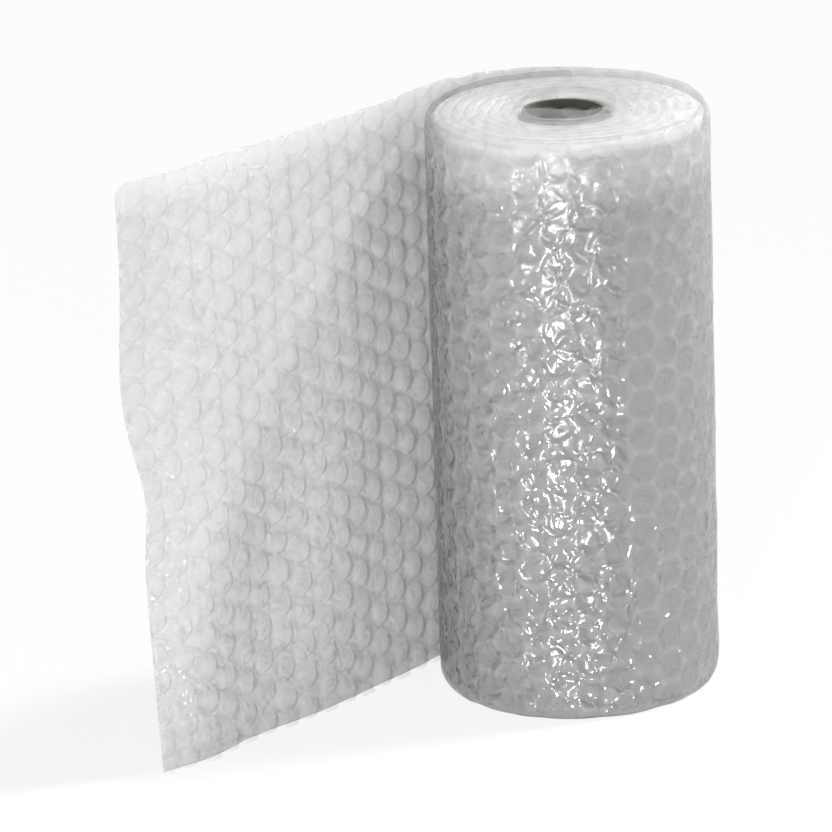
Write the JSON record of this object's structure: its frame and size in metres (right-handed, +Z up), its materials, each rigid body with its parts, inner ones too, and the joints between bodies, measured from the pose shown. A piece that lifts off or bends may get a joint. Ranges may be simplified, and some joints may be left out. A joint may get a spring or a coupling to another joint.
{
  "type": "bubble wrap roll",
  "caption": "Standing roll of clear large-cell cushioning film wound on a paperboard core, with a loose length of film pulled off its back.",
  "frame": {"origin": "on the roll's axis, at the level of the surface that the roll stands on", "axes": "+Z up along the roll's axis; the loose film leaves the roll at +Y and runs towards -X and -Y; the picture looks along +Y"},
  "size_m": [0.5753, 0.4009, 0.6],
  "materials": {
    "core_board": "matte grey board, spirally wound",
    "clear_film": "clear glossy film with air cells"
  },
  "bodies": {
    "root": {"core_tube": "core_board", "bubble_wrap_web": "clear_film"}
  },
  "joints": []
}
